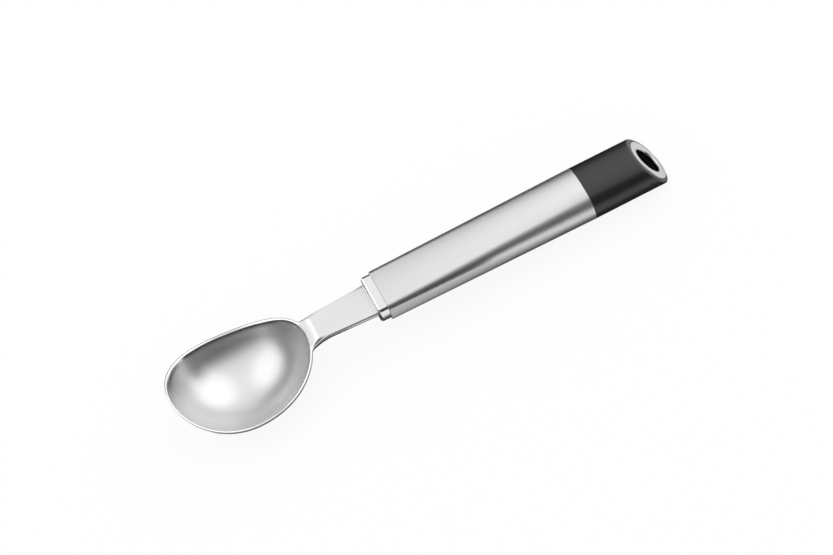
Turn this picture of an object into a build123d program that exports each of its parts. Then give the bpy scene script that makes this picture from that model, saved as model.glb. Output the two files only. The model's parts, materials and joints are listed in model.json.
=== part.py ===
"""Ice cream scoop: a pressed steel bowl and neck in a steel tube handle with a hanging cap.

Everything is drawn on the axis of the handle: stations run from the mouth of the tube to the
rear, heights run up from the axis when the bowl faces up. The axis itself has the slope that it
takes when the scoop lies on a table, on the bottom of its bowl and the heel of its end cap.
"""
import os
from math import atan2, cos, degrees, radians, sin, sqrt, tan

from build123d import *

# Handle tube: flat at its mouth, oval where it meets the cap
tube_length = 91.6
tube_wall = 0.8
mouth_width = 20.9
mouth_height = 10.6
mouth_top_crown = 0.09
mouth_side_crown = 0.03
mouth_corner = 2.5
oval_width = 24.4
oval_height = 17.1
oval_top_crown = 0.96
oval_side_crown = 0.03
oval_side_reach = 0.4

# Front collar: a polished plug in the mouth of the tube
collar_proud = 4.4
collar_depth = 8.0
collar_edge = 1.3

# Neck: the flat stretch between the collar and the bowl
neck_length = 25.7
neck_thickness = 2.5
neck_root_width = 16.4
neck_waist_width = 13.5
neck_bend = 3.0
under_bend = 5.0
under_slope = 30.0
flare_length = 7.4
flare_width = 4.5

# Bowl: an egg shape turned about an axis along the handle, trimmed along a dipped rim
bowl_setback = 34.3
bowl_front = 30.6
bowl_rear = 34.0
bowl_radius = 30.8
bowl_fullness = 0.57
bowl_axis_height = 11.0
bowl_wall = 1.3
rim_reach = 29.8
rim_dip = 8.1
rim_dip_offset = 3.4
rim_tip_rise = 2.9

# Tang: the narrow end of the neck inside the handle, and the pin that locks it
tang_width = 10.0
tang_length = 46.0
tang_corner = 2.0
pin_setback = 16.0
pin_radius = 2.0
pin_cover = 1.0

# Core: a moulded plug that fills the tube around the tang
core_cover = 6.0

# End cap: moulded, cut off at a slant, with a hanging hole square to the slant
cap_length = 30.0
cap_narrowing = 0.3
cap_deepening = 0.5
cap_slant = 35.3
cap_edge = 1.1
spigot_length = 12.0
hole_radius = 6.2

# Hanging ring let into the slanted face
ring_margin = 1.8
ring_thickness = 2.0
ring_proud = 0.15
ring_lip = 0.8
ring_edge = 0.25

# Clearances
push_fit = 0.1
collar_fit = 0.05
slot_fit = 0.1
pin_fit = 0.05
ring_fit = 0.05

# Stations and sizes that follow from the ones above
neck_top = neck_thickness / 2
neck_end = -collar_proud - neck_length
bowl_centre = neck_end - bowl_setback
bowl_tip = bowl_centre - rim_reach
oval_corner = oval_height / 2 - oval_top_crown - oval_side_reach
cap_end_width = oval_width - cap_narrowing
cap_end_height = oval_height + cap_deepening
cap_corner = cap_end_height / 2 - oval_top_crown - oval_side_reach
cap_face = tube_length + cap_length
cap_heel = cap_face + tan(radians(cap_slant)) * cap_end_height / 2
ring_width = cap_end_width - 2 * ring_margin
ring_length = cap_end_height / cos(radians(cap_slant)) - 2 * ring_margin
pin_station = tang_length - pin_setback
height_at_pin = mouth_height + (oval_height - mouth_height) * pin_station / tube_length
pin_length = height_at_pin - 2 * (tube_wall + push_fit + pin_cover)
core_end = tang_length + core_cover
clear = bowl_radius + bowl_axis_height

# How the scoop lies on a table: its origin is on the table, under the middle of its length
bowl_depth = bowl_radius - bowl_axis_height
heel_rest = cap_heel - cap_edge
slope = atan2(bowl_depth - cap_end_height / 2, heel_rest - bowl_centre)
bowl_reach = sqrt((bowl_rear * sin(slope)) ** 2 + (bowl_radius * cos(slope)) ** 2)
along = Vector(cos(slope), 0, -sin(slope))
across = Vector(0, 1, 0)
upward = Vector(sin(slope), 0, cos(slope))
mouth = Vector(
    -(bowl_tip + heel_rest) / 2 * cos(slope),
    0,
    bowl_centre * sin(slope) - bowl_axis_height * cos(slope) + bowl_reach,
)
handle_axis = Axis(mouth, along)
bowl_axis = Axis(mouth + upward * bowl_axis_height, along)

# Drawing planes: the view from the side, x along the handle and y up, and the cap's slanted face
side = Plane(origin=mouth, x_dir=along, z_dir=-across)
slant_out = along * cos(radians(cap_slant)) + upward * sin(radians(cap_slant))
slant = Plane(origin=mouth + along * cap_face, x_dir=across, z_dir=slant_out)
slant_axis = Axis(slant.origin, slant_out)


def square_to_axis(station):
    """Plane across the handle that faces its rear, with x sideways and y up."""
    return Plane(origin=mouth + along * station, x_dir=across, z_dir=along)


def level_with_axis(height):
    """Plane along the handle that faces up, with x to the rear and y sideways."""
    return Plane(origin=mouth + upward * height, x_dir=along, z_dir=upward)


def handle_section(place, width, height, top_crown, side_crown, corner, inset):
    """Cross section of the handle, that far inside its skin: round corners joined by crowned sides."""
    corner_x = width / 2 - side_crown - corner
    corner_y = height / 2 - top_crown - corner
    # The crowned sides touch the corners, so their radii and angles follow
    top_radius = (corner_x**2 + (corner + top_crown) ** 2 - corner**2) / (2 * top_crown)
    side_radius = (corner_y**2 + (corner + side_crown) ** 2 - corner**2) / (2 * side_crown)
    top_centre = height / 2 - top_radius
    side_centre = width / 2 - side_radius
    top_swing = degrees(atan2(corner_x, corner_y - top_centre))
    side_swing = degrees(atan2(corner_y, corner_x - side_centre))
    corner_swing = 90 - top_swing - side_swing
    with BuildSketch(place) as section:
        with BuildLine():
            CenterArc((side_centre, 0), side_radius - inset, -side_swing, 2 * side_swing)
            CenterArc((corner_x, corner_y), corner - inset, side_swing, corner_swing)
            CenterArc((0, top_centre), top_radius - inset, 90 - top_swing, 2 * top_swing)
            CenterArc((-corner_x, corner_y), corner - inset, 90 + top_swing, corner_swing)
            CenterArc((-side_centre, 0), side_radius - inset, 180 - side_swing, 2 * side_swing)
            CenterArc((-corner_x, -corner_y), corner - inset, 180 + side_swing, corner_swing)
            CenterArc((0, -top_centre), top_radius - inset, 270 - top_swing, 2 * top_swing)
            CenterArc((corner_x, -corner_y), corner - inset, 270 + top_swing, corner_swing)
        make_face()
    return section.sketch


def mouth_section(inset, station=0.0):
    """The handle's section at the mouth of the tube, that far inside its skin."""
    return handle_section(
        square_to_axis(station), mouth_width, mouth_height,
        mouth_top_crown, mouth_side_crown, mouth_corner, inset,
    )


def oval_section(inset):
    """The handle's section where the tube meets the cap, that far inside its skin."""
    return handle_section(
        square_to_axis(tube_length), oval_width, oval_height,
        oval_top_crown, oval_side_crown, oval_corner, inset,
    )


def egg_profile(shrink):
    """Half of the bowl's egg outline below its turning axis, drawn in by the shrink."""
    front = bowl_front - shrink
    rear = bowl_rear - shrink
    radius = bowl_radius - shrink
    low = bowl_axis_height - radius
    shoulder = bowl_axis_height - bowl_fullness * radius
    with BuildSketch(side) as profile:
        with BuildLine():
            Bezier(
                (bowl_centre - front, bowl_axis_height),
                (bowl_centre - front, shoulder),
                (bowl_centre - bowl_fullness * front, low),
                (bowl_centre, low),
            )
            Bezier(
                (bowl_centre, low),
                (bowl_centre + bowl_fullness * rear, low),
                (bowl_centre + rear, shoulder),
                (bowl_centre + rear, bowl_axis_height),
            )
            Line((bowl_centre + rear, bowl_axis_height), (bowl_centre - front, bowl_axis_height))
        make_face()
    return profile.sketch


# Scoop head: bowl, neck and tang are one piece of steel
with BuildPart() as scoop_head:
    # Neck seen from above: it narrows to a waist and flares out into the rim of the bowl
    with BuildSketch(level_with_axis(-clear)):
        with BuildLine():
            neck_side = Line((-collar_proud, neck_root_width / 2), (neck_end, neck_waist_width / 2))
            flare_end = (neck_end - flare_length, neck_waist_width / 2 + flare_width)
            TangentArc(neck_side @ 1, flare_end, tangent=neck_side % 1)
            Polyline(flare_end, (flare_end[0], 0), (-collar_proud, 0), neck_side @ 0)
        make_face()
        mirror(about=Plane.XZ)
    extrude(amount=2 * clear)
    # Neck seen from the side: flat below, then bent down into the back of the bowl
    with BuildSketch(side) as neck_profile:
        with BuildLine():
            ramp_end = neck_end - flare_length - neck_top
            ramp_drop = tan(radians(under_slope)) * (neck_end - ramp_end)
            Polyline(
                (-collar_proud, clear),
                (-collar_proud, -neck_top),
                (neck_end, -neck_top),
                (ramp_end, -neck_top - ramp_drop),
                (ramp_end, clear),
                close=True,
            )
        make_face()
        fillet(neck_profile.vertices().sort_by_distance((neck_end, -neck_top))[0], under_bend)
    extrude(amount=clear, both=True, mode=Mode.INTERSECT)
    # Bowl
    revolve(egg_profile(0), axis=bowl_axis)
    revolve(egg_profile(bowl_wall), axis=bowl_axis, mode=Mode.SUBTRACT)
    # One cut shapes the top of the neck, its bend and the dipped rim
    with BuildSketch(side) as rim_cut:
        with BuildLine():
            rim_low = (bowl_centre + rim_dip_offset, -rim_dip)
            rim_tip = (bowl_tip, rim_tip_rise)
            Line((0, neck_top), (neck_end, neck_top))
            TangentArc(rim_low, (neck_end, neck_top), tangent=(1, 0))
            TangentArc(rim_low, rim_tip, tangent=(-1, 0))
            Polyline(rim_tip, (bowl_tip - clear, clear), (0, 2 * clear), (0, neck_top))
        make_face()
        fillet(rim_cut.vertices().sort_by_distance((neck_end, neck_top))[0], neck_bend)
    extrude(amount=clear, both=True, mode=Mode.SUBTRACT)
    # Tang: it passes through the collar and ends in the core, where the pin crosses it
    with BuildSketch(level_with_axis(-neck_top)) as tang_plan:
        with Locations(((tang_length - collar_proud) / 2, 0)):
            Rectangle(tang_length + collar_proud, tang_width)
        with Locations((pin_station, 0)):
            Circle(pin_radius + pin_fit, mode=Mode.SUBTRACT)
        fillet(tang_plan.vertices().group_by(Axis.X)[-1], tang_corner)
    extrude(amount=neck_thickness)

# Front collar
with BuildPart() as front_collar:
    extrude(mouth_section(tube_wall + collar_fit, -collar_proud), amount=collar_proud + collar_depth)
    collar_front = front_collar.faces().sort_by(handle_axis)[0]
    fillet(collar_front.edges(), collar_edge)
    with BuildSketch(square_to_axis(-collar_proud)):
        Rectangle(tang_width + 2 * slot_fit, neck_thickness + 2 * slot_fit)
    extrude(amount=collar_proud + collar_depth, mode=Mode.SUBTRACT)

# Handle tube
with BuildPart() as handle_tube:
    loft([mouth_section(0), oval_section(0)])
    loft([mouth_section(tube_wall), oval_section(tube_wall)], mode=Mode.SUBTRACT)

# Tang core
with BuildPart() as tang_core:
    loft([mouth_section(tube_wall + push_fit), oval_section(tube_wall + push_fit)])
    split(bisect_by=square_to_axis(collar_depth), keep=Keep.TOP)
    split(bisect_by=square_to_axis(core_end), keep=Keep.BOTTOM)
    with BuildSketch(square_to_axis(0)):
        Rectangle(tang_width + 2 * slot_fit, neck_thickness + 2 * slot_fit)
    extrude(amount=tang_length + slot_fit, mode=Mode.SUBTRACT)
    with BuildSketch(level_with_axis(-pin_length / 2)):
        with Locations((pin_station, 0)):
            Circle(pin_radius + pin_fit)
    extrude(amount=pin_length, mode=Mode.SUBTRACT)

# Tang pin
with BuildPart() as tang_pin:
    with BuildSketch(level_with_axis(-pin_length / 2)):
        with Locations((pin_station, 0)):
            Circle(pin_radius)
    extrude(amount=pin_length)

# End cap
with BuildPart() as end_cap:
    # Spigot: the stretch that is pushed into the tube
    loft([mouth_section(tube_wall + push_fit), oval_section(tube_wall + push_fit)])
    split(bisect_by=square_to_axis(tube_length - spigot_length), keep=Keep.TOP)
    # Body: it goes on from the tube without a step and is cut off at the slant
    cap_end = handle_section(
        square_to_axis(cap_heel), cap_end_width, cap_end_height,
        oval_top_crown, oval_side_crown, cap_corner, 0,
    )
    loft([oval_section(0), cap_end])
    split(bisect_by=slant, keep=Keep.BOTTOM)
    fillet(end_cap.faces().sort_by(slant_axis)[-1].edges(), cap_edge)
    # Seat of the ring, and the hole behind it, which comes out on the underside
    with BuildSketch(slant):
        Ellipse(ring_width / 2 + ring_fit, ring_length / 2 + ring_fit)
    extrude(amount=ring_proud - ring_thickness, mode=Mode.SUBTRACT)
    with BuildSketch(slant):
        Circle(hole_radius)
    extrude(amount=-clear, mode=Mode.SUBTRACT)

# Hanging ring
with BuildPart() as hanging_ring:
    with BuildSketch(slant.offset(ring_proud)):
        Ellipse(ring_width / 2, ring_length / 2)
        Circle(hole_radius, mode=Mode.SUBTRACT)
    extrude(amount=-ring_thickness)
    ring_rims = hanging_ring.faces().sort_by(slant_axis)[-1].edges().sort_by(SortBy.LENGTH)
    fillet(ring_rims[0], ring_lip)
    ring_rims = hanging_ring.faces().sort_by(slant_axis)[-1].edges().sort_by(SortBy.LENGTH)
    fillet(ring_rims[-1], ring_edge)

# One file for each piece
os.makedirs("parts", exist_ok=True)
pieces = {
    "scoop_head": scoop_head,
    "front_collar": front_collar,
    "handle_tube": handle_tube,
    "tang_core": tang_core,
    "tang_pin": tang_pin,
    "end_cap": end_cap,
    "hanging_ring": hanging_ring,
}
for node, piece in pieces.items():
    piece.part.label = node
    export_step(piece.part, f"parts/{node}.step")
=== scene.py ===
"""An ice cream scoop on a white table: satin and polished steel, with a black plastic cap."""
import json
from math import atan2, cos, hypot, inf, pi, radians, sin, sqrt, tan

import bmesh
import bpy
from mathutils import Matrix, Vector


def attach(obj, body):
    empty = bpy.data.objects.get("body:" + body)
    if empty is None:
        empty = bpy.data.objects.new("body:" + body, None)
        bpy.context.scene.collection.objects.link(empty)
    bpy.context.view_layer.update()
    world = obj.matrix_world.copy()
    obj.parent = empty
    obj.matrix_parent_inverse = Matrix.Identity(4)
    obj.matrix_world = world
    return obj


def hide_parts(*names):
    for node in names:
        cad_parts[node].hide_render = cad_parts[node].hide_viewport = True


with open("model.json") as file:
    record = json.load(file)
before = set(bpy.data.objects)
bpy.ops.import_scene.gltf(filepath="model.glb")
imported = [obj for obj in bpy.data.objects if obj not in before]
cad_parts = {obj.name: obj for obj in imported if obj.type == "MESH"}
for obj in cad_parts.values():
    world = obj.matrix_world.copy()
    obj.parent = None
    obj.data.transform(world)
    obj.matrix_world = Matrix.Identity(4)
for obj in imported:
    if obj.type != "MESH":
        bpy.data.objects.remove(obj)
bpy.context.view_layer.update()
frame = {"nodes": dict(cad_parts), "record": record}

# Scoop head
# Bowl, rim and neck are pressed from one sheet of stainless steel. The inside is brushed to a
# satin and the rim is polished bright. Behind the neck a narrow tang runs on into the handle.
mm = 0.001

# Every piece is drawn along the handle, in millimetres from the mouth of the tube, and then laid
# down on the table, so that the hanging hole comes where the record has it
cap_slant = radians(35.3)
hole_station = 121.6
hole_depth = 4.5
hole = frame["record"]["mounts"][0]
hole_axis = Vector(hole["axis"]).normalized()
rest_slope = cap_slant - atan2(hole_axis.z, hole_axis.x)
lie = Matrix.Rotation(rest_slope, 3, "Y")
mouth = Vector(hole["pos_m"]) + (hole_axis * hole_depth - lie @ Vector((hole_station, 0, 0))) * mm
laid = Matrix.Translation(mouth) @ lie.to_4x4() @ Matrix.Scale(mm, 4)

bowl_centre = -64.4
bowl_front = 30.6
bowl_rear = 34.0
bowl_radius = 30.8
bowl_fullness = 0.57
bowl_axis_height = 11.0
bowl_wall = 1.3
bowl_middle = Vector((bowl_centre, 0))
rim_low = -61.0
rim_dip = -8.1
rim_tip = -94.2
rim_tip_rise = 2.9
neck_start = -4.4
neck_end = -30.1
neck_top = 1.25
neck_bend = 0.56
neck_root_half = 8.2
neck_waist_half = 6.75
neck_widest_turn = pi / 3
under_slope = radians(30)
under_bend = 1.2
under_blend = 2.0
under_limit = -9.0
flare_end = -37.5
flare_half = 11.25
flare_fade = 2.5
flare_blend = 0.8
joint_line = -27.5
tang_half = 5.0
tang_end = 46.0
tang_thinning = 0.98
head_steps = 160
neck_steps = 5
rim_wall = 0.95
rim_taper = 0.12
inner_depth = 0.3
inner_round = 0.45
inner_steps = 4
rim_round = 0.6
rim_under_round = 1.3
rim_bead = 1.4
rim_bulge = 1 / 8.2
neck_round = 1.0
round_steps = 8
inside_shares = [0, 0.03, 0.08, 0.15, 0.23, 0.32, 0.41, 0.5,
                 0.59, 0.67, 0.75, 0.82, 0.88, 0.93, 0.97]
rim_shares = [0.2, 0.4, 0.6, 0.8]
halvings = 32
small_turn = 0.004
least_slant = 0.3
weld = 0.004
slack = 0.05
end_facing = 0.9


def soft_min(first, second, width):
    """The lower of two values, rounded off where they cross."""
    if width <= 0:
        return min(first, second)
    near = max(width - abs(first - second), 0)
    return min(first, second) - near * near / (4 * width)


def eased(share):
    """A share from 0 to 1 that starts and ends gently."""
    return share**2 * (3 - 2 * share)


def egg_share(reach):
    """Share of the bowl's radius that is left at a share of its half length."""
    low, high = 0.0, 1.0
    for _ in range(halvings):
        t = (low + high) / 2
        if (1 - t) ** 3 + 3 * t * (1 - t) ** 2 + 3 * bowl_fullness * t * t * (1 - t) > reach:
            low = t
        else:
            high = t
    return 3 * bowl_fullness * t * (1 - t) ** 2 + 3 * t * t * (1 - t) + t**3


def egg_height(station, off, shrink):
    """Height of the bowl's wall at a place seen from above, drawn in by the shrink."""
    half = (bowl_front if station < bowl_centre else bowl_rear) - shrink
    reach = abs(station - bowl_centre) / half
    radius = (bowl_radius - shrink) * egg_share(reach) if reach < 1 else 0
    return bowl_axis_height - sqrt(radius**2 - off**2) if abs(off) < radius else inf


def rim_height(station):
    """Height of the rim, which dips in the middle and bends flat into the neck."""
    end, rise = (rim_tip, rim_tip_rise) if station < rim_low else (neck_end, neck_top)
    radius = ((end - rim_low) ** 2 + (rise - rim_dip) ** 2) / (2 * (rise - rim_dip))
    away = min(abs(station - rim_low), radius)
    height = rim_dip + radius - sqrt(radius**2 - away**2)
    return height if station < rim_low else soft_min(height, neck_top, neck_bend)


def neck_half(station):
    """Half the width of the neck, which flares out in an arc where it meets the bowl."""
    taper = (neck_root_half - neck_waist_half) / (neck_start - neck_end)
    if station > neck_end:
        return neck_waist_half + taper * (station - neck_end)
    normal = Vector((-taper, 1)).normalized()
    chord = Vector((flare_end - neck_end, flare_half - neck_waist_half))
    radius = chord.length_squared / (2 * chord.dot(normal))
    middle = Vector((neck_end, neck_waist_half)) + normal * radius
    return middle.y - sqrt(radius**2 - (station - middle.x) ** 2)


def crossing(inside, near, far):
    """How far along a ray a test stops being true."""
    for _ in range(halvings):
        middle = (near + far) / 2
        near, far = (middle, far) if inside(middle) else (near, middle)
    return near


def bowl_reach(turn, shrink):
    """Distance from the bowl's middle to its rim, seen from above."""
    def below_rim(distance):
        station = bowl_centre + distance * cos(turn)
        return egg_height(station, distance * sin(turn), shrink) < rim_height(station)
    return crossing(below_rim, 0, bowl_rear)


def neck_reach(turn):
    """Distance from the bowl's middle to the side of the neck or its flare, seen from above."""
    near = (flare_end - bowl_centre) / cos(turn)
    far = (joint_line - bowl_centre) / cos(turn)
    if abs(turn) > neck_widest_turn or near * sin(abs(turn)) > flare_half:
        return 0
    def in_neck(distance):
        return distance * sin(abs(turn)) < neck_half(bowl_centre + distance * cos(turn))
    return crossing(in_neck, near, far)


def head_edge(turn):
    """The head's outer edge on a ray, seen from above, and how far it belongs to the bowl's rim."""
    egg_reach = bowl_reach(turn, 0)
    side_reach = neck_reach(turn)
    overhang = min(max((side_reach - egg_reach) / flare_fade, 0), 1)
    fade = 1 - eased(overhang)
    reach = -soft_min(-egg_reach, -side_reach, flare_blend if 0 < fade < 1 else 0)
    return Vector((bowl_centre + reach * cos(turn), reach * sin(turn))), fade


def under_height(station, off, fade):
    """Height of the head's underside: the bowl's outer wall, or the ramp under the neck."""
    ramp = soft_min(-neck_top, -neck_top - tan(under_slope) * (neck_end - station), under_bend)
    ramp = max(ramp, under_limit)
    ramp += (rim_height(station) - ramp) * fade
    return soft_min(egg_height(station, off, 0), ramp, under_blend * (1 - fade))


def spoke_turn(number):
    """The direction of a spoke. A few of them, side by side, end on the root of the neck."""
    joint_turn = atan2(neck_half(joint_line), joint_line - bowl_centre)
    joint_share = 2 * neck_steps / head_steps
    share = 2 * abs(number) / head_steps
    if share < joint_share:
        turn = joint_turn * share / joint_share
    else:
        turn = joint_turn + (pi - joint_turn) * (share - joint_share) / (1 - joint_share)
    return turn if number >= 0 else -turn


def edge_inward(number):
    """The way in from the head's outer edge on a spoke, for a rounding of one millimetre."""
    turn = spoke_turn(number)
    if abs(number) < neck_steps:
        return Vector((0, 0))
    if abs(number) == neck_steps:
        return Vector((0, -1 if turn > 0 else 1))
    ray = Vector((cos(turn), sin(turn)))
    along = (head_edge(turn + small_turn)[0] - head_edge(turn - small_turn)[0]).normalized()
    return -ray / max(abs(along.cross(ray)), least_slant)


def press_spoke(number):
    """Where the blank's rings lie on a spoke, once pressed, and how bright each is polished."""
    turn = spoke_turn(number)
    ray = Vector((cos(turn), sin(turn)))
    edge, fade = head_edge(turn)
    inward = edge_inward(number)
    top_round = inward * (neck_round + (rim_round - neck_round) * fade)
    under_round = inward * (neck_round + (rim_under_round - neck_round) * fade)
    inner = bowl_reach(turn, rim_wall)
    inner_edge = bowl_middle + ray * inner
    rim_start = inner_edge + ray * inner_round
    wall_end = inner_edge - ray * inner_depth
    inside, rim, outside = [], [], []
    for share in inside_shares:
        place = bowl_middle + ray * (inner - inner_depth) * share
        thinned = eased(max((share - 1 + rim_taper) / rim_taper, 0))
        wall = bowl_wall + (rim_wall - bowl_wall) * thinned
        inside.append(((*place, egg_height(*place, wall)), 0))
    for step in range(inner_steps + 1):
        bend = step / inner_steps
        place = inner_edge + ray * (inner_round * bend**2 - inner_depth * (1 - bend) ** 2)
        height = rim_height(place.x)
        height += (egg_height(*wall_end, rim_wall) - height) * (1 - bend) ** 2
        rim.append(((*place, height), fade))
    for share in rim_shares:
        place = rim_start.lerp(edge + top_round, share)
        rim.append(((*place, rim_height(place.x)), fade))
    for step in range(round_steps + 1):
        roll = step / round_steps
        over, under = (1 - roll) ** 3, roll**3
        upper, lower = 3 * roll * (1 - roll) ** 2, 3 * roll**2 * (1 - roll)
        swell = (upper + lower) * rim_bulge
        place = edge + top_round * (over - swell) + under_round * (under - swell)
        height = rim_height((edge + top_round * over).x) * (over + upper)
        height += (under_height(*edge, fade) - rim_bead * fade) * lower
        height += under_height(*(edge + under_round), fade) * under
        rim.append(((*place, height), fade))
    for share in reversed(inside_shares):
        place = bowl_middle.lerp(edge + under_round, share)
        outside.append(((*place, under_height(*place, fade)), 0))
    return inside + rim + outside


# The blank is a disc of rings. The inner rings press into the inside of the bowl, the next ones
# lie along the rim, and the outer ones roll over its edge, go under it and close at the bottom.
spokes = {0: press_spoke(0)}
head = bmesh.new()
polish = head.verts.layers.float.new("polish")
row = [head.verts.new((ring, 0, 0)) for ring in range(len(spokes[0]))]
row_edges = [head.edges.new(pair) for pair in zip(row, row[1:])]
bmesh.ops.spin(head, geom=row + row_edges, axis=(0, 0, 1), cent=(0, 0, 0), angle=2 * pi,
               steps=head_steps, use_merge=True)
for vert in head.verts:
    ring = round(hypot(vert.co.x, vert.co.y))
    number = round(atan2(vert.co.y, vert.co.x) / (2 * pi) * head_steps) if ring else 0
    if number not in spokes:
        spokes[number] = press_spoke(number)
    vert.co, vert[polish] = spokes[number][ring]
bmesh.ops.remove_doubles(head, verts=head.verts, dist=weld)
bmesh.ops.recalc_face_normals(head, faces=head.faces)


def draw_out(faces, narrowing, length):
    """Draw faces out of the head, along the handle, and hand back the faces at the new end."""
    drawn = bmesh.ops.extrude_face_region(head, geom=faces)["geom"]
    bmesh.ops.delete(head, geom=faces, context="FACES")
    verts = [item for item in drawn if isinstance(item, bmesh.types.BMVert)]
    bmesh.ops.scale(head, vec=narrowing, verts=verts)
    bmesh.ops.translate(head, vec=(length, 0, 0), verts=verts)
    return [item for item in drawn if isinstance(item, bmesh.types.BMFace)]


# The neck is drawn out of the back of the bowl, step by step, and ends in the tang
end_faces = [face for face in head.faces if face.normal.x > end_facing
             and face.calc_center_median().x > joint_line - slack]
neck_step = (neck_start - joint_line) / neck_steps
station = joint_line
for _ in range(neck_steps):
    widening = neck_half(station + neck_step) / neck_half(station)
    end_faces = draw_out(end_faces, (1, widening, 1), neck_step)
    station += neck_step
end_faces = draw_out(end_faces, (1, tang_half / neck_root_half, tang_thinning), 0)
draw_out(end_faces, (1, 1, 1), tang_end - neck_start)
crease = head.edges.layers.float.new("crease_edge")
for edge in head.edges:
    if min(vert.co.x for vert in edge.verts) > neck_start - slack:
        edge[crease] = 1
        edge.smooth = False


def lay_down(drawn):
    """Turn the faces of a drawn mesh outwards and lay it down on the table."""
    bmesh.ops.recalc_face_normals(drawn, faces=drawn.faces)
    bmesh.ops.transform(drawn, matrix=laid, verts=drawn.verts)


def put_in_scene(name, drawn):
    """Make an object of a drawn mesh."""
    mesh = bpy.data.meshes.new(name)
    drawn.to_mesh(mesh)
    drawn.free()
    item = bpy.data.objects.new(name, mesh)
    bpy.context.scene.collection.objects.link(item)
    return item


def set_down(name, node, drawn, finish, sharp_angle=None):
    """Lay a drawn mesh down on the table as the piece that stands for a node."""
    lay_down(drawn)
    for face in drawn.faces:
        face.smooth = True
    piece = put_in_scene(name, drawn)
    if sharp_angle:
        piece.data.set_sharp_from_angle(angle=sharp_angle)
    piece.data.materials.append(finish)
    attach(piece, "root")
    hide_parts(node)
    return piece


def new_finish(name):
    """An empty material with its node tree and its shader."""
    finish = bpy.data.materials.new(name)
    finish.use_nodes = True
    return finish, finish.node_tree, finish.node_tree.nodes["Principled BSDF"]


# Brushing: long fine scratches along the handle, as a mask for roughness and a height for bump,
# and soft clouds that let the satin vary
scratches_across = 9000
cloud_scale = 90
cloud_share = 0.6
brushing = bpy.data.node_groups.new("brushing", "ShaderNodeTree")
brushing.interface.new_socket("Length", in_out="INPUT", socket_type="NodeSocketFloat")
brushing.interface.new_socket("Scratches", in_out="OUTPUT", socket_type="NodeSocketFloat")
brushing.interface.new_socket("Clouds", in_out="OUTPUT", socket_type="NodeSocketFloat")
group_in = brushing.nodes.new("NodeGroupInput")
group_out = brushing.nodes.new("NodeGroupOutput")
place = brushing.nodes.new("ShaderNodeTexCoord")
turned = brushing.nodes.new("ShaderNodeMapping")
turned.inputs["Rotation"].default_value = (0, -rest_slope, 0)
stretch = brushing.nodes.new("ShaderNodeCombineXYZ")
stretch.inputs["Y"].default_value = scratches_across
stretch.inputs["Z"].default_value = scratches_across
squeezed = brushing.nodes.new("ShaderNodeVectorMath")
squeezed.operation = "MULTIPLY"
scratch = brushing.nodes.new("ShaderNodeTexNoise")
scratch.inputs["Scale"].default_value = 1
scratch.inputs["Detail"].default_value = 4
scratch.inputs["Roughness"].default_value = 0.65
cloud = brushing.nodes.new("ShaderNodeTexNoise")
cloud.inputs["Scale"].default_value = cloud_scale
cloud.inputs["Detail"].default_value = 3
brushing.links.new(place.outputs["Object"], turned.inputs["Vector"])
brushing.links.new(group_in.outputs["Length"], stretch.inputs["X"])
brushing.links.new(turned.outputs["Vector"], squeezed.inputs[0])
brushing.links.new(stretch.outputs["Vector"], squeezed.inputs[1])
brushing.links.new(squeezed.outputs["Vector"], scratch.inputs["Vector"])
brushing.links.new(turned.outputs["Vector"], cloud.inputs["Vector"])
brushing.links.new(scratch.outputs["Fac"], group_out.inputs["Scratches"])
brushing.links.new(cloud.outputs["Fac"], group_out.inputs["Clouds"])


def steel(name, colour, smoothest, roughest, scratch_scale, scratch_depth):
    """Bare steel, brushed along the handle: scratches roughen it and catch the light."""
    finish, tree, shader = new_finish(name)
    brushed = tree.nodes.new("ShaderNodeGroup")
    brushed.node_tree = brushing
    brushed.inputs["Length"].default_value = scratch_scale
    mixed = tree.nodes.new("ShaderNodeMath")
    mixed.operation = "MULTIPLY_ADD"
    mixed.inputs[1].default_value = cloud_share
    rough = tree.nodes.new("ShaderNodeMapRange")
    rough.inputs["From Min"].default_value = 0.3
    rough.inputs["From Max"].default_value = 1.1
    rough.inputs["To Min"].default_value = smoothest
    rough.inputs["To Max"].default_value = roughest
    bump = tree.nodes.new("ShaderNodeBump")
    bump.inputs["Distance"].default_value = scratch_depth * mm
    shader.inputs["Base Color"].default_value = (*colour, 1)
    shader.inputs["Metallic"].default_value = 1
    tree.links.new(brushed.outputs["Clouds"], mixed.inputs[0])
    tree.links.new(brushed.outputs["Scratches"], mixed.inputs[2])
    tree.links.new(mixed.outputs["Value"], rough.inputs["Value"])
    tree.links.new(rough.outputs["Result"], shader.inputs["Roughness"])
    tree.links.new(brushed.outputs["Scratches"], bump.inputs["Height"])
    tree.links.new(bump.outputs["Normal"], shader.inputs["Normal"])
    return finish, tree, shader, rough


# The head's own finish: brushed steel, except along the polished rim
rim_roughness = 0.12
head_finish, tree, shader, rough = steel(
    "head_steel", (0.74, 0.74, 0.74), smoothest=0.28, roughest=0.38,
    scratch_scale=300, scratch_depth=0.0009)
polished = tree.nodes.new("ShaderNodeAttribute")
polished.attribute_name = "polish"
rim_shine = tree.nodes.new("ShaderNodeMix")
rim_shine.inputs["B"].default_value = rim_roughness
tree.links.new(polished.outputs["Fac"], rim_shine.inputs["Factor"])
tree.links.new(rough.outputs["Result"], rim_shine.inputs["A"])
tree.links.new(rim_shine.outputs["Result"], shader.inputs["Roughness"])
head_piece = set_down("head", "scoop_head", head, head_finish)
smoothed = head_piece.modifiers.new("smoothed", "SUBSURF")
smoothed.levels = 1
smoothed.render_levels = 1

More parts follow.
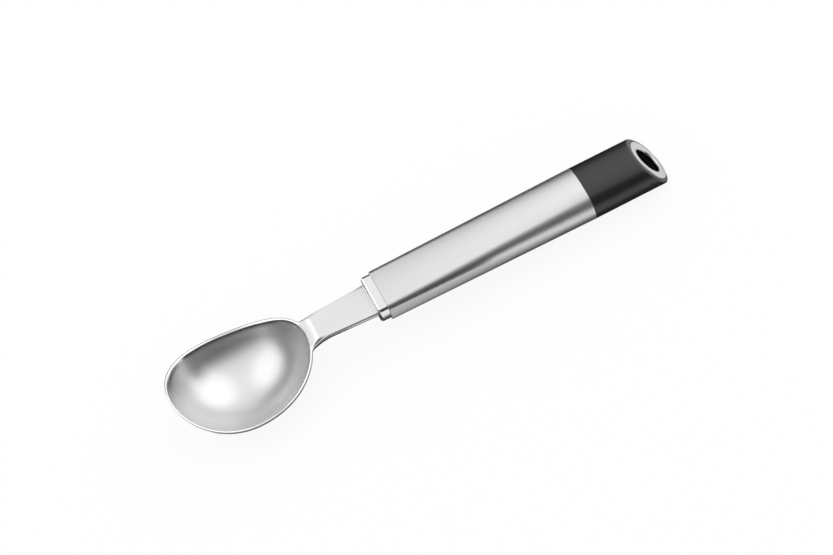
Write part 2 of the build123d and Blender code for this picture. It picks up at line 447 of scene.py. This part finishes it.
# Front collar
# A polished steel plug in the mouth of the tube, with rounded front edges. The tang passes
# through it, and the shoulders of the neck butt against its front.
tube_length = 91.6
tube_wall = 0.8
mouth_shape = dict(width=20.9, height=10.6, top_crown=0.09, side_crown=0.03, corner=2.5)
oval_shape = dict(width=24.4, height=17.1, top_crown=0.96, side_crown=0.03, corner=7.19)
section_steps = 160
corner_share = 0.5
side_share = 0.1
collar_inset = 0.85
collar_rear = 8.0
collar_edge = 1.3
edge_steps = 8


def section_point(turn, inset, width, height, top_crown, side_crown, corner):
    """A point on the handle's section, that share of the way round it: across and up."""
    corner_x = width / 2 - side_crown - corner
    corner_y = height / 2 - top_crown - corner
    top_radius = (corner_x**2 + (corner + top_crown) ** 2 - corner**2) / (2 * top_crown)
    side_radius = (corner_y**2 + (corner + side_crown) ** 2 - corner**2) / (2 * side_crown)
    top_centre = height / 2 - top_radius
    side_centre = width / 2 - side_radius
    top_swing = atan2(corner_x, corner_y - top_centre)
    side_swing = atan2(corner_y, corner_x - side_centre)
    quarter, along = divmod(turn * 4, 1)
    along = along if quarter % 2 == 0 else 1 - along
    if along < side_share:
        middle, radius = (side_centre, 0), side_radius
        angle = side_swing * along / side_share
    elif along < side_share + corner_share:
        middle, radius = (corner_x, corner_y), corner
        swing = pi / 2 - top_swing - side_swing
        angle = side_swing + swing * (along - side_share) / corner_share
    else:
        middle, radius = (0, top_centre), top_radius
        angle = pi / 2 - top_swing * (1 - along) / (1 - side_share - corner_share)
    across = middle[0] + (radius - inset) * cos(angle)
    up = middle[1] + (radius - inset) * sin(angle)
    return Vector((across if quarter in (0, 3) else -across, up if quarter in (0, 1) else -up))


def skin(rings, closed):
    """A mesh drawn over rings, each a function that turns a share of the way round into a point."""
    drawn = bmesh.new()
    turn = drawn.verts.layers.float.new("turn")
    verts = bmesh.ops.create_circle(drawn, segments=section_steps, radius=1)["verts"]
    for number, vert in enumerate(verts):
        vert[turn] = number / section_steps
    edges = list(drawn.edges)
    first_edges = edges
    for number, ring in enumerate(rings):
        if number:
            grown = bmesh.ops.extrude_edge_only(drawn, edges=edges)["geom"]
            verts = [item for item in grown if isinstance(item, bmesh.types.BMVert)]
            edges = [item for item in grown if isinstance(item, bmesh.types.BMEdge)
                     and all(vert in verts for vert in item.verts)]
        for vert in verts:
            vert.co = ring(vert[turn])
    if closed:
        bmesh.ops.bridge_loops(drawn, edges=first_edges + edges)
    else:
        bmesh.ops.edgeloop_fill(drawn, edges=first_edges)
        bmesh.ops.edgeloop_fill(drawn, edges=edges)
    return drawn


def quarter_round(radius):
    """Steps along a rounded edge, each given by how far it lies in from one side and the other."""
    turns = [pi / 2 * step / edge_steps for step in range(edge_steps + 1)]
    return [(radius * (1 - cos(turn)), radius * (1 - sin(turn))) for turn in turns]


def collar_ring(station, inset):
    """A ring of the collar: the mouth's section, carried along the handle."""
    return lambda turn: Vector((station, *section_point(turn, inset, **mouth_shape)))


collar_rings = [collar_ring(collar_rear, collar_inset)]
collar_rings += [collar_ring(neck_start + back, collar_inset + in_by)
                 for in_by, back in quarter_round(collar_edge)]
collar_finish, *_ = steel(
    "collar_steel", (0.82, 0.82, 0.81), smoothest=0.08, roughest=0.15,
    scratch_scale=200, scratch_depth=0.0002)
set_down("collar", "front_collar", skin(collar_rings, closed=False),
         collar_finish, sharp_angle=radians(40))

# Handle tube
# A thin-walled stainless tube, pressed nearly flat at its mouth and oval at its rear end. It is
# brushed along its length, with its two cut ends lightly broken.
tube_break = 0.15
tube_steps = 16
tube_route = [(tube_length, tube_wall), (0, tube_wall), (0, tube_break), (tube_break, 0)]
tube_route += [(tube_length * step / tube_steps, 0) for step in range(1, tube_steps)]
tube_route += [(tube_length - tube_break, 0), (tube_length, tube_break)]


def tube_ring(station, inset):
    """A ring of the tube, that far inside its skin, on the way from flat mouth to oval end."""
    def ring(turn):
        front = section_point(turn, inset, **mouth_shape)
        rear = section_point(turn, inset, **oval_shape)
        return Vector((station, *front.lerp(rear, station / tube_length)))
    return ring


tube_finish, *_ = steel(
    "tube_steel", (0.7, 0.7, 0.7), smoothest=0.34, roughest=0.46,
    scratch_scale=60, scratch_depth=0.0016)
set_down("tube", "handle_tube",
         skin([tube_ring(*stop) for stop in tube_route], closed=True),
         tube_finish, sharp_angle=radians(30))

# Tang core and tang pin
# Hidden in the tube: a pale moulded plug around the tang, and a short drawn steel pin across it.
# Both keep the shapes that they have in the frame.
core_finish, tree, shader = new_finish("core_plastic")
place = tree.nodes.new("ShaderNodeTexCoord")
speckle = tree.nodes.new("ShaderNodeTexNoise")
speckle.inputs["Scale"].default_value = 1500
tint = tree.nodes.new("ShaderNodeMix")
tint.data_type = "RGBA"
tint.inputs["A"].default_value = (0.5, 0.49, 0.46, 1)
tint.inputs["B"].default_value = (0.6, 0.59, 0.56, 1)
shader.inputs["Roughness"].default_value = 0.6
tree.links.new(place.outputs["Object"], speckle.inputs["Vector"])
tree.links.new(speckle.outputs["Fac"], tint.inputs["Factor"])
tree.links.new(tint.outputs["Result"], shader.inputs["Base Color"])
frame["nodes"]["tang_core"].data.materials[0] = core_finish
pin_finish, *_ = steel(
    "pin_steel", (0.62, 0.62, 0.62), smoothest=0.25, roughest=0.4,
    scratch_scale=500, scratch_depth=0.0005)
frame["nodes"]["tang_pin"].data.materials[0] = pin_finish

# End cap
# Black moulded plastic with a fine satin grain. It goes on from the tube without a step, is cut
# off at a slant with a rounded edge, and has a seat for the ring and a hole square to the slant.
cap_shape = dict(width=24.1, height=17.6, top_crown=0.96, side_crown=0.03, corner=7.44)
cap_heel = hole_station + tan(cap_slant) * cap_shape["height"] / 2
cap_edge = 1.1
cap_side_share = 0.9
cap_steps = 14
cap_sharp_angle = radians(35)
cap_speck = 0.005
cap_grain_depth = 0.004
spigot_front = 79.6
spigot_inset = 0.9
ring_half_width = 10.25
ring_half_length = 8.984
seat_half_width = 10.3
seat_half_length = 9.034
seat_depth = 1.85
hole_radius = 6.2
drill_start = 5
drill_end = -40
small_share = 0.001
slant_out = Vector((cos(cap_slant), 0, sin(cap_slant)))
slant_up = Vector((-sin(cap_slant), 0, cos(cap_slant)))
face_middle = Vector((hole_station, 0, 0))


def on_slant(across, up, out):
    """A point given by its place on the slanted face, and how far it stands out of it."""
    return face_middle + Vector((0, across, 0)) + slant_up * up + slant_out * out


def cap_ring(share):
    """A ring of the cap's skin, that share of the way from the tube to the slanted face."""
    def ring(turn):
        front = Vector((tube_length, *section_point(turn, 0, **oval_shape)))
        rear = Vector((cap_heel, *section_point(turn, 0, **cap_shape)))
        reach = (face_middle - front).dot(slant_out) / (rear - front).dot(slant_out)
        return front.lerp(rear, reach * share)
    return ring


def cap_edge_ring(share):
    """A ring of the cap's rounded edge, that share of the way from its side to its slanted face."""
    cap_end = cap_ring(1)

    def ring(turn):
        corner = cap_end(turn)
        along = (cap_end((turn + small_share) % 1) - cap_end((turn - small_share) % 1)).normalized()
        inward = slant_out.cross(along).normalized()
        forward = cap_ring(cap_side_share)(turn) - corner
        forward = (forward - along * forward.dot(along)).normalized()
        half_angle = inward.angle(forward) / 2
        middle = corner + (inward + forward).normalized() * cap_edge / sin(half_angle)
        set_back = cap_edge / tan(half_angle)
        start = (corner + forward * set_back - middle).normalized()
        finish = (corner + inward * set_back - middle).normalized()
        place = middle + start.slerp(finish, share) * cap_edge - face_middle
        across, up, out = place.y, place.dot(slant_up), place.dot(slant_out)
        clear = max(1, 1 / hypot(across / seat_half_width, up / seat_half_length))
        return on_slant(across * clear, up * clear, out)
    return ring


def oval_ring(half_width, half_length, out):
    """An oval or round ring about the hole."""
    return lambda turn: on_slant(half_width * cos(2 * pi * turn),
                                 half_length * sin(2 * pi * turn), out)


cap_rings = [tube_ring(spigot_front, spigot_inset), tube_ring(tube_length, spigot_inset)]
cap_rings += [cap_ring(cap_side_share * step / cap_steps) for step in range(cap_steps + 1)]
cap_rings += [cap_edge_ring(step / edge_steps) for step in range(edge_steps + 1)]
cap_rings += [oval_ring(seat_half_width, seat_half_length, out) for out in (0, -seat_depth)]
cap_finish, tree, shader = new_finish("cap_plastic")
place = tree.nodes.new("ShaderNodeTexCoord")
grain = tree.nodes.new("ShaderNodeTexNoise")
grain.inputs["Scale"].default_value = 4500
grain.inputs["Detail"].default_value = 3
rough = tree.nodes.new("ShaderNodeMapRange")
rough.inputs["To Min"].default_value = 0.32
rough.inputs["To Max"].default_value = 0.44
bump = tree.nodes.new("ShaderNodeBump")
bump.inputs["Distance"].default_value = cap_grain_depth * mm
shader.inputs["Base Color"].default_value = (0.008, 0.008, 0.0085, 1)
shader.inputs["Specular IOR Level"].default_value = 0.65
tree.links.new(place.outputs["Object"], grain.inputs["Vector"])
tree.links.new(grain.outputs["Fac"], rough.inputs["Value"])
tree.links.new(rough.outputs["Result"], shader.inputs["Roughness"])
tree.links.new(grain.outputs["Fac"], bump.inputs["Height"])
tree.links.new(bump.outputs["Normal"], shader.inputs["Normal"])
cap_piece = set_down("cap", "end_cap", skin(cap_rings, closed=False),
                     cap_finish, sharp_angle=cap_sharp_angle)

# The hole is drilled through the cap, the specks along the cut are cleaned off, and the drill is
# put away
drill = skin([oval_ring(hole_radius, hole_radius, out) for out in (drill_start, drill_end)],
             closed=False)
lay_down(drill)
drill_piece = put_in_scene("drill", drill)
drilled = cap_piece.modifiers.new("drilled", "BOOLEAN")
drilled.object = drill_piece
drilled.solver = "EXACT"
bpy.context.view_layer.update()
drilled_cap = cap_piece.evaluated_get(bpy.context.evaluated_depsgraph_get())
finished = bpy.data.meshes.new_from_object(drilled_cap)
cap_piece.modifiers.remove(drilled)
cleaned = bmesh.new()
cleaned.from_mesh(finished)
bmesh.ops.dissolve_degenerate(cleaned, dist=cap_speck * mm, edges=cleaned.edges)
cleaned.to_mesh(finished)
cleaned.free()
cap_piece.data = finished
finished.set_sharp_from_angle(angle=cap_sharp_angle)
bpy.data.objects.remove(drill_piece)

# Hanging ring
# A thin satin steel ring let into the slanted face. Its outer edge is just broken, and its inner
# edge rolls over into the hole and is cut back underneath.
ring_proud = 0.15
ring_edge = 0.25
ring_lip = 0.8
ring_wall = 1.0
ring_undercut = 1.5
undercut_radius = hole_radius + ring_undercut
ring_stops = [(ring_half_width, ring_half_length, -seat_depth)]
ring_stops += [(ring_half_width - in_by, ring_half_length - in_by, ring_proud - down)
               for in_by, down in quarter_round(ring_edge)]
ring_stops += [(hole_radius + in_by, hole_radius + in_by, ring_proud - down)
               for down, in_by in quarter_round(ring_lip)]
ring_stops += [(hole_radius, hole_radius, -ring_wall),
               (undercut_radius, undercut_radius, -seat_depth)]
ring_finish, *_ = steel(
    "ring_steel", (0.6, 0.6, 0.6), smoothest=0.26, roughest=0.36,
    scratch_scale=2000, scratch_depth=0.0004)
set_down("hang_ring", "hanging_ring",
         skin([oval_ring(*stop) for stop in ring_stops], closed=True),
         ring_finish, sharp_angle=radians(40))

# Table
# A plain white table top. It shows white to the camera and in the steel, and keeps a soft shadow.
table_half = 3.0
table_glow = 0.9


def background_rays(tree):
    """A mask of the rays that see a background: from the camera, off metal or through glass."""
    path = tree.nodes.new("ShaderNodeLightPath")
    seen = path.outputs["Is Camera Ray"]
    for ray in ("Is Glossy Ray", "Is Transmission Ray"):
        either = tree.nodes.new("ShaderNodeMath")
        either.operation = "ADD"
        either.use_clamp = True
        tree.links.new(seen, either.inputs[0])
        tree.links.new(path.outputs[ray], either.inputs[1])
        seen = either.outputs["Value"]
    return seen


drawn = bmesh.new()
bmesh.ops.create_grid(drawn, x_segments=1, y_segments=1, size=table_half)
table = put_in_scene("table", drawn)
table_finish, tree, shader = new_finish("white_table")
shader.inputs["Base Color"].default_value = (0.9, 0.9, 0.9, 1)
shader.inputs["Roughness"].default_value = 0.9
shader.inputs["Specular IOR Level"].default_value = 0
share = tree.nodes.new("ShaderNodeMath")
share.operation = "MULTIPLY"
share.inputs[1].default_value = table_glow
glow = tree.nodes.new("ShaderNodeEmission")
glow.inputs["Strength"].default_value = 1
blend = tree.nodes.new("ShaderNodeMixShader")
tree.links.new(background_rays(tree), share.inputs[0])
tree.links.new(share.outputs["Value"], blend.inputs["Fac"])
tree.links.new(shader.outputs["BSDF"], blend.inputs[1])
tree.links.new(glow.outputs["Emission"], blend.inputs[2])
tree.links.new(blend.outputs["Shader"], tree.nodes["Material Output"].inputs["Surface"])
table.data.materials.append(table_finish)

# Studio
# A white room with two soft round lamps behind the scoop. Dark grey cards, which only the steel
# and the plastic see, stand near and far around it. Two of them lie flat under the handle and
# the bowl as painted shadow: the steel shows them where it would show the table's shadow.
card_grey, tree, shader = new_finish("card_grey")
shader.inputs["Base Color"].default_value = (0.08, 0.08, 0.08, 1)
shader.inputs["Roughness"].default_value = 1
shader.inputs["Specular IOR Level"].default_value = 0
cards = {
    "card_near": ((-1.3, -0.8, 0.06), (1.3, -0.8, 0.06),
                  (1.3, -0.7, 1.25), (-1.3, -0.7, 1.25)),
    "card_left": ((-0.9, 0.5, 0.02), (-0.9, -0.9, 0.02),
                  (-0.9, -0.9, 0.6), (-0.9, 0.5, 0.6)),
    "card_tip": ((-0.13, 0.02, 0), (-0.085, 0.07, 0),
                 (-0.085, 0.07, 0.045), (-0.13, 0.02, 0.045)),
    "card_right": ((0.9, -0.1, 0.2), (0.9, -0.9, 0.2),
                   (0.9, -0.9, 0.8), (0.9, -0.1, 0.7)),
    "card_over": ((0.03, -0.075, 0.09), (0.13, -0.075, 0.09),
                  (0.13, -0.035, 0.115), (0.03, -0.035, 0.115)),
    "card_behind": ((-0.022, 0.025, 0.008), (0.112, 0.025, 0.004),
                    (0.112, 0.025, 0.023), (-0.022, 0.025, 0.038)),
    "card_rim": ((-0.1, 0.034, 0.004), (-0.04, 0.034, 0.004),
                 (-0.04, 0.034, 0.018), (-0.1, 0.034, 0.018)),
    "card_front": ((-0.022, -0.03, 0.008), (0.03, -0.03, 0.008),
                   (0.03, -0.03, 0.03), (-0.022, -0.03, 0.045)),
    # painted shadow: a dark sheet on the table under the handle, seen only in the steel, in place
    # of the table's shadow there
    "painted_shadow_under_handle": ((-0.06, 0.02, 0.0005), (0.112, 0.02, 0.0005),
                   (0.112, -0.023, 0.0005), (-0.06, -0.0185, 0.0005)),
    # painted shadow: a dark sheet on the table along the near side of the bowl, seen only in the
    # steel, in place of the table's shadow there
    "painted_shadow_under_bowl": ((-0.12, -0.03, 0.0003), (-0.09, 0, 0.0003), (-0.035, 0, 0.0003),
                  (-0.035, -0.12, 0.0003), (-0.12, -0.12, 0.0003)),
}
for name, corners in cards.items():
    drawn = bmesh.new()
    bmesh.ops.contextual_create(drawn, geom=[drawn.verts.new(corner) for corner in corners])
    card = put_in_scene(name, drawn)
    card.data.materials.append(card_grey)
    card.visible_camera = False
    card.visible_diffuse = False
    card.visible_shadow = False
scene = bpy.context.scene
scene.view_settings.view_transform = "Standard"
lamp_distance = 1.2
lamps = {
    "lamp_left": dict(bearing=radians(152), height=radians(47), size=1.2, energy=1.9),
    "lamp_right": dict(bearing=radians(20), height=radians(43), size=1.5, energy=3.0),
}
for name, lit in lamps.items():
    lamp = bpy.data.lights.new(name, "AREA")
    lamp.shape = "DISK"
    lamp.size = lit["size"]
    lamp.energy = lit["energy"]
    lamp_piece = bpy.data.objects.new(name, lamp)
    scene.collection.objects.link(lamp_piece)
    level = cos(lit["height"])
    away = Vector((cos(lit["bearing"]) * level, sin(lit["bearing"]) * level, sin(lit["height"])))
    turned = away.to_track_quat("Z", "Y").to_matrix().to_4x4()
    lamp_piece.matrix_world = Matrix.Translation(away * lamp_distance) @ turned
room = bpy.data.worlds.new("white_room")
room.use_nodes = True
scene.world = room
tree = room.node_tree
fill = tree.nodes["Background"]
fill.inputs["Color"].default_value = (1, 1, 1, 1)
fill.inputs["Strength"].default_value = 0.9
white = tree.nodes.new("ShaderNodeBackground")
white.inputs["Color"].default_value = (1, 1, 1, 1)
white.inputs["Strength"].default_value = 1
blend = tree.nodes.new("ShaderNodeMixShader")
tree.links.new(background_rays(tree), blend.inputs["Fac"])
tree.links.new(fill.outputs["Background"], blend.inputs[1])
tree.links.new(white.outputs["Background"], blend.inputs[2])
tree.links.new(blend.outputs["Shader"], tree.nodes["World Output"].inputs["Surface"])

# Camera
# The photograph looks down over the near side of the bowl, with the handle running up to the
# right. Its place is given from the tube's mouth, in the photograph's pixels.
photo_width = 833
photo_scale = 0.40
lens_pixels = 2298.8
view_tilt = 0.5934
view_turn = 0.0827
view_roll = -0.4685
mouth_right = -36.19
mouth_down = 18.10
film_width = 36
nearest_seen = 0.01
level_right = Vector((cos(view_turn), -sin(view_turn) * sin(view_tilt),
                      sin(view_turn) * cos(view_tilt)))
level_down = Vector((0, -cos(view_tilt), -sin(view_tilt)))
toward_camera = Vector((-sin(view_turn), -cos(view_turn) * sin(view_tilt),
                        cos(view_turn) * cos(view_tilt)))
right = level_right * cos(view_roll) - level_down * sin(view_roll)
down = level_right * sin(view_roll) + level_down * cos(view_roll)
stand = (toward_camera * lens_pixels - right * mouth_right - down * mouth_down) * photo_scale
camera = bpy.data.objects.new("camera", bpy.data.cameras.new("camera"))
scene.collection.objects.link(camera)
turned = (lie @ Matrix((right, -down, toward_camera)).transposed()).to_4x4()
camera.matrix_world = Matrix.Translation(laid @ stand) @ turned
camera.data.sensor_width = film_width
camera.data.lens = lens_pixels * film_width / photo_width
camera.data.clip_start = nearest_seen
scene.camera = camera
